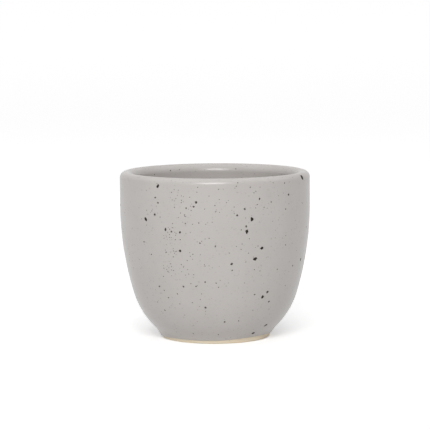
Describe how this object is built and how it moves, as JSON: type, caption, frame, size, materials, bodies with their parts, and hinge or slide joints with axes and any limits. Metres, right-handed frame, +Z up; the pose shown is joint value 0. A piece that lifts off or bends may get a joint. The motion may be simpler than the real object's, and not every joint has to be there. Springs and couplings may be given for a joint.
{
  "type": "handleless stoneware cup",
  "caption": "Round handleless stoneware cup with upright sides, a belly that draws in to a small bare foot, a thick rounded lip and a speckled grey satin glaze.",
  "frame": {"origin": "centre of the foot, on the plane that the cup stands on", "axes": "+Z up along the axis of the cup, out of its mouth; -Y is the front that the picture shows, +X its right"},
  "size_m": [0.09, 0.09, 0.079],
  "materials": {
    "bare_clay": "matte fired clay, unglazed, fine sand grain",
    "grey_glaze": "satin warm grey glaze with fine specks",
    "iron_speck": "dark iron grain fused in the glaze"
  },
  "bodies": {
    "root": {"clay_body": "bare_clay", "outer_glaze": "grey_glaze", "liner_glaze": "grey_glaze", "foot_glaze": "grey_glaze", "iron_specks": "iron_speck"}
  },
  "joints": []
}
